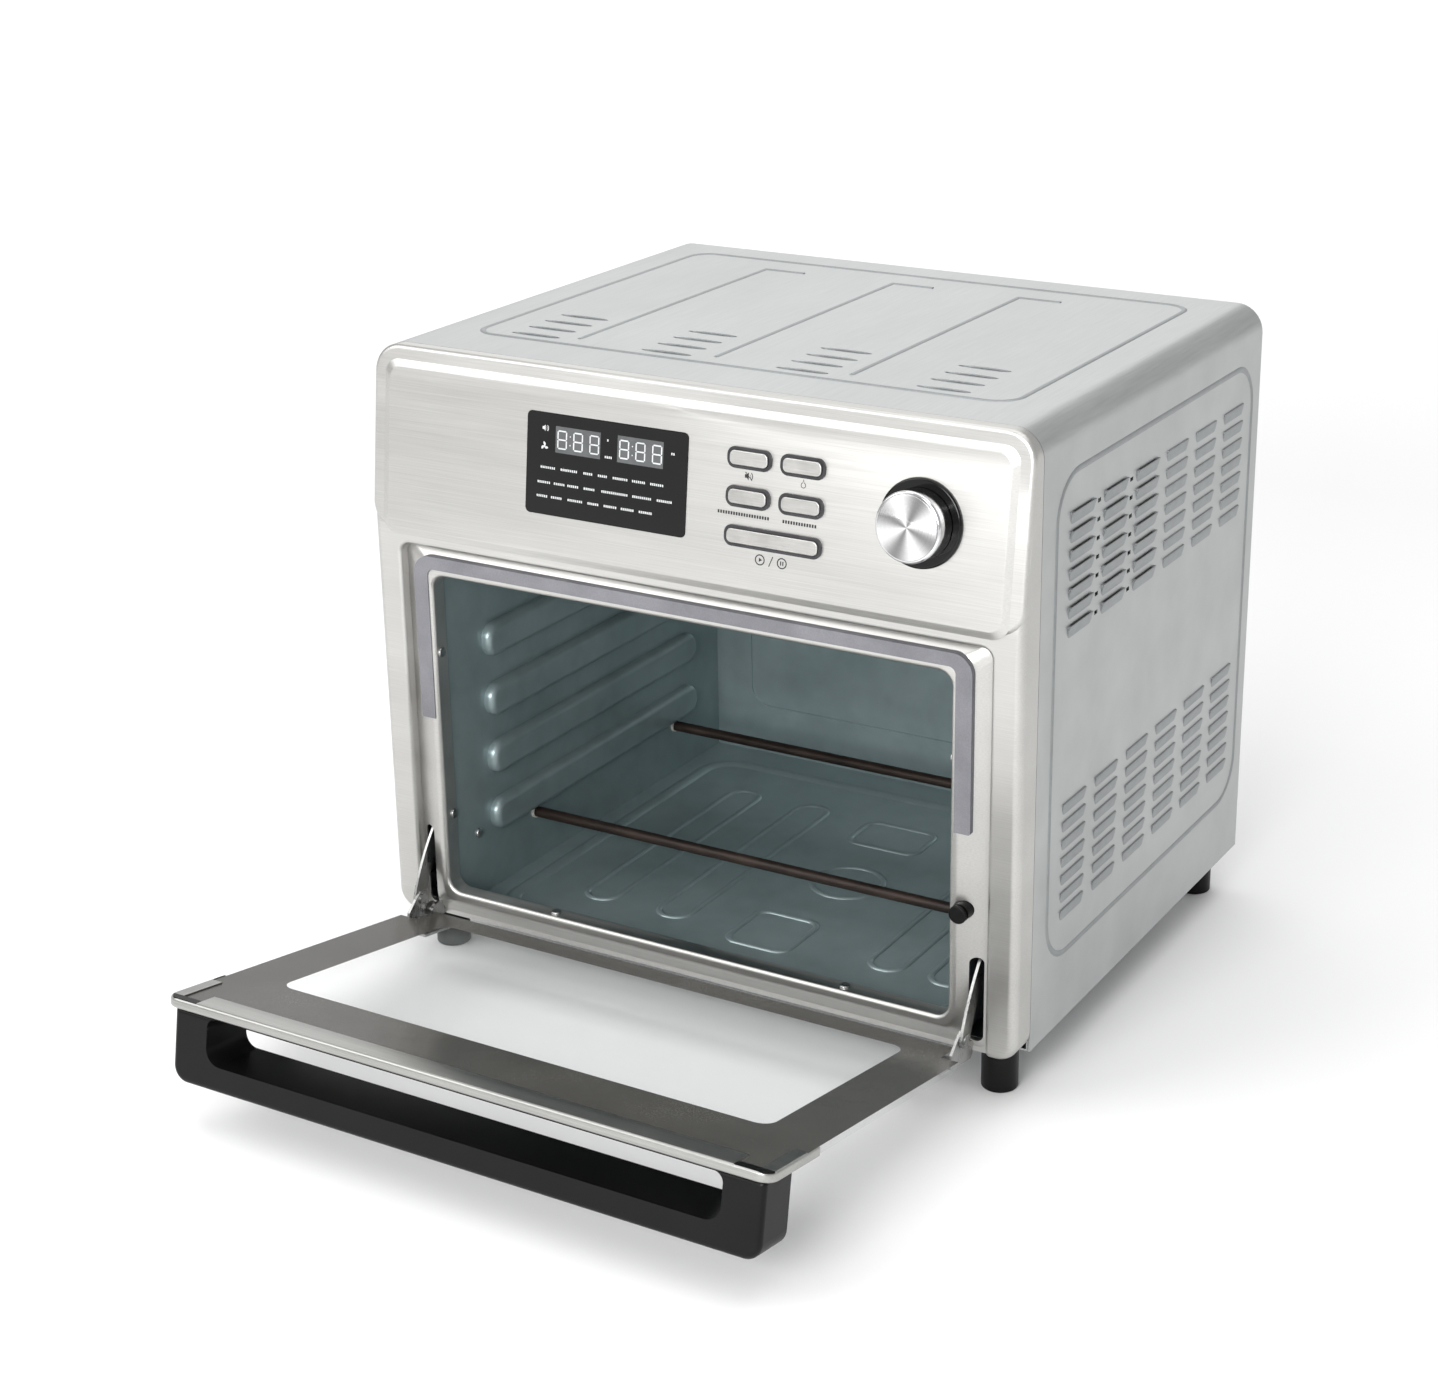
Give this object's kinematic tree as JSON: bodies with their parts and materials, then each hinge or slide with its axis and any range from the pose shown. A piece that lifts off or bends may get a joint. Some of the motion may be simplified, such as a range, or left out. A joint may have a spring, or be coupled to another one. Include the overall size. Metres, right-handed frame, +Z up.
{
  "type": "toaster oven",
  "caption": "Countertop convection toaster oven with a drop-down glass door held open, digital display, push buttons, a dial and louvred steel casing.",
  "frame": {"origin": "on the plane that the four feet stand on, at the centre of the rectangle of the feet", "axes": "+X to the right as seen from the front, +Y towards the back, +Z up; the door is on the -Y side"},
  "size_m": [0.4032, 0.5396, 0.3667],
  "materials": {
    "brushed_steel": "brushed stainless steel with a satin clear coat",
    "satin_steel": "satin galvanised sheet steel",
    "grey_coating": "smooth grey-green heat-proof coating",
    "black_plastic": "moulded black plastic",
    "black_gloss": "glossy black",
    "zinc_steel": "zinc-plated steel",
    "silicone": "grey silicone rubber",
    "heater_sheath": "oxidised dark brown alloy sheath",
    "ceramic": "white ceramic",
    "motor_steel": "laminated steel and dark lacquer",
    "circuit_board": "green circuit board",
    "dark_chrome": "dark chrome plating",
    "silver_cap": "satin silver",
    "chrome": "bright chrome plating",
    "spun_aluminium": "spun, circular brushed aluminium",
    "tinted_glass": "clear tempered glass with a dark grey printed border"
  },
  "bodies": {
    "root": {"front_frame": "brushed_steel", "outer_wrap": "satin_steel", "back_panel": "satin_steel", "cord_gland": "black_plastic", "base_panel": "satin_steel", "foot_front_left": "black_plastic", "foot_front_right": "black_plastic", "foot_rear_left": "black_plastic", "foot_rear_right": "black_plastic", "foot_screws": "zinc_steel", "case_screws": "zinc_steel", "cavity_right_wall": "grey_coating", "cavity_left_wall": "grey_coating", "cavity_floor": "grey_coating", "cavity_top": "grey_coating", "cavity_back_wall": "grey_coating", "cavity_screws": "zinc_steel", "silicone_strip": "silicone", "heater_lower_front": "heater_sheath", "heater_lower_rear": "heater_sheath", "heater_bushings": "ceramic", "heater_upper": "heater_sheath", "fan_guard": "grey_coating", "fan_housing": "zinc_steel", "motor": "motor_steel", "motor_bracket": "zinc_steel", "display_window": "black_gloss", "digit_display": "black_plastic", "display_board": "circuit_board", "encoder": "zinc_steel", "button_bezels": "dark_chrome", "knob_bezel": "black_gloss", "door_switch": "black_plastic", "hinge_mounts": "zinc_steel"},
    "door": {"door_glass": "tinted_glass", "door_trim": "satin_steel", "trim_end_caps": "black_plastic", "handle": "black_plastic", "door_bracket_right": "zinc_steel", "door_bracket_left": "zinc_steel", "bracket_rivets": "zinc_steel"},
    "link_left": {"link_arm_left": "zinc_steel"},
    "link_right": {"link_arm_right": "zinc_steel"},
    "plunger": {"door_plunger": "black_plastic"},
    "knob": {"knob": "chrome", "knob_face": "spun_aluminium", "encoder_shaft": "zinc_steel"},
    "fan": {"fan_rotor": "zinc_steel", "cooling_fan": "black_plastic", "motor_shaft": "zinc_steel"},
    "button_mute": {"button_mute": "silver_cap"},
    "button_light": {"button_light": "silver_cap"},
    "button_air_fry": {"button_air_fry": "silver_cap"},
    "button_oven": {"button_oven": "silver_cap"},
    "button_start": {"button_start": "silver_cap"}
  },
  "joints": [
    {"name": "door_hinge", "type": "hinge", "parent": "root", "child": "door", "pos_m": [0, -0.1665, 0.033], "axis": [-1, 0, 0], "range_deg": [0, 79.5]},
    {"name": "link_left_pivot", "type": "hinge", "parent": "door", "child": "link_left", "pos_m": [-0.1761, -0.17451, 0.04303], "axis": [-1, 0, 0], "range_deg": [-56, 0]},
    {"name": "link_right_pivot", "type": "hinge", "parent": "door", "child": "link_right", "pos_m": [0.1761, -0.17451, 0.04303], "axis": [-1, 0, 0], "range_deg": [-56, 0]},
    {"name": "plunger_slide", "type": "slide", "parent": "root", "child": "plunger", "axis": [0, 1, 0], "range_m": [0, 0.005]},
    {"name": "knob_turn", "type": "hinge", "parent": "root", "child": "knob", "pos_m": [0.1415, -0.16097, 0.31447], "axis": [0, -0.9929, 0.1187], "continuous": true},
    {"name": "fan_spin", "type": "hinge", "parent": "root", "child": "fan", "pos_m": [0, -0.006, 0.27], "axis": [0, 0, 1], "continuous": true},
    {"name": "button_mute_press", "type": "slide", "parent": "root", "child": "button_mute", "axis": [0, 0.9929, -0.1187], "range_m": [0, 0.0012], "stiffness_N_per_m": 300, "springref_m": -0.0005},
    {"name": "button_light_press", "type": "slide", "parent": "root", "child": "button_light", "axis": [0, 0.9929, -0.1187], "range_m": [0, 0.0012], "stiffness_N_per_m": 300, "springref_m": -0.0005},
    {"name": "button_air_fry_press", "type": "slide", "parent": "root", "child": "button_air_fry", "axis": [0, 0.9929, -0.1187], "range_m": [0, 0.0012], "stiffness_N_per_m": 300, "springref_m": -0.0005},
    {"name": "button_oven_press", "type": "slide", "parent": "root", "child": "button_oven", "axis": [0, 0.9929, -0.1187], "range_m": [0, 0.0012], "stiffness_N_per_m": 300, "springref_m": -0.0005},
    {"name": "button_start_press", "type": "slide", "parent": "root", "child": "button_start", "axis": [0, 0.9929, -0.1187], "range_m": [0, 0.0012], "stiffness_N_per_m": 300, "springref_m": -0.0005}
  ],
  "couplings": [
    {"joint": "link_left_pivot", "follows": "door_hinge", "ratio": -0.7},
    {"joint": "link_right_pivot", "follows": "door_hinge", "ratio": -0.7},
    {"joint": "plunger_slide", "follows": "door_hinge", "m_per_rad": 0.0036}
  ]
}
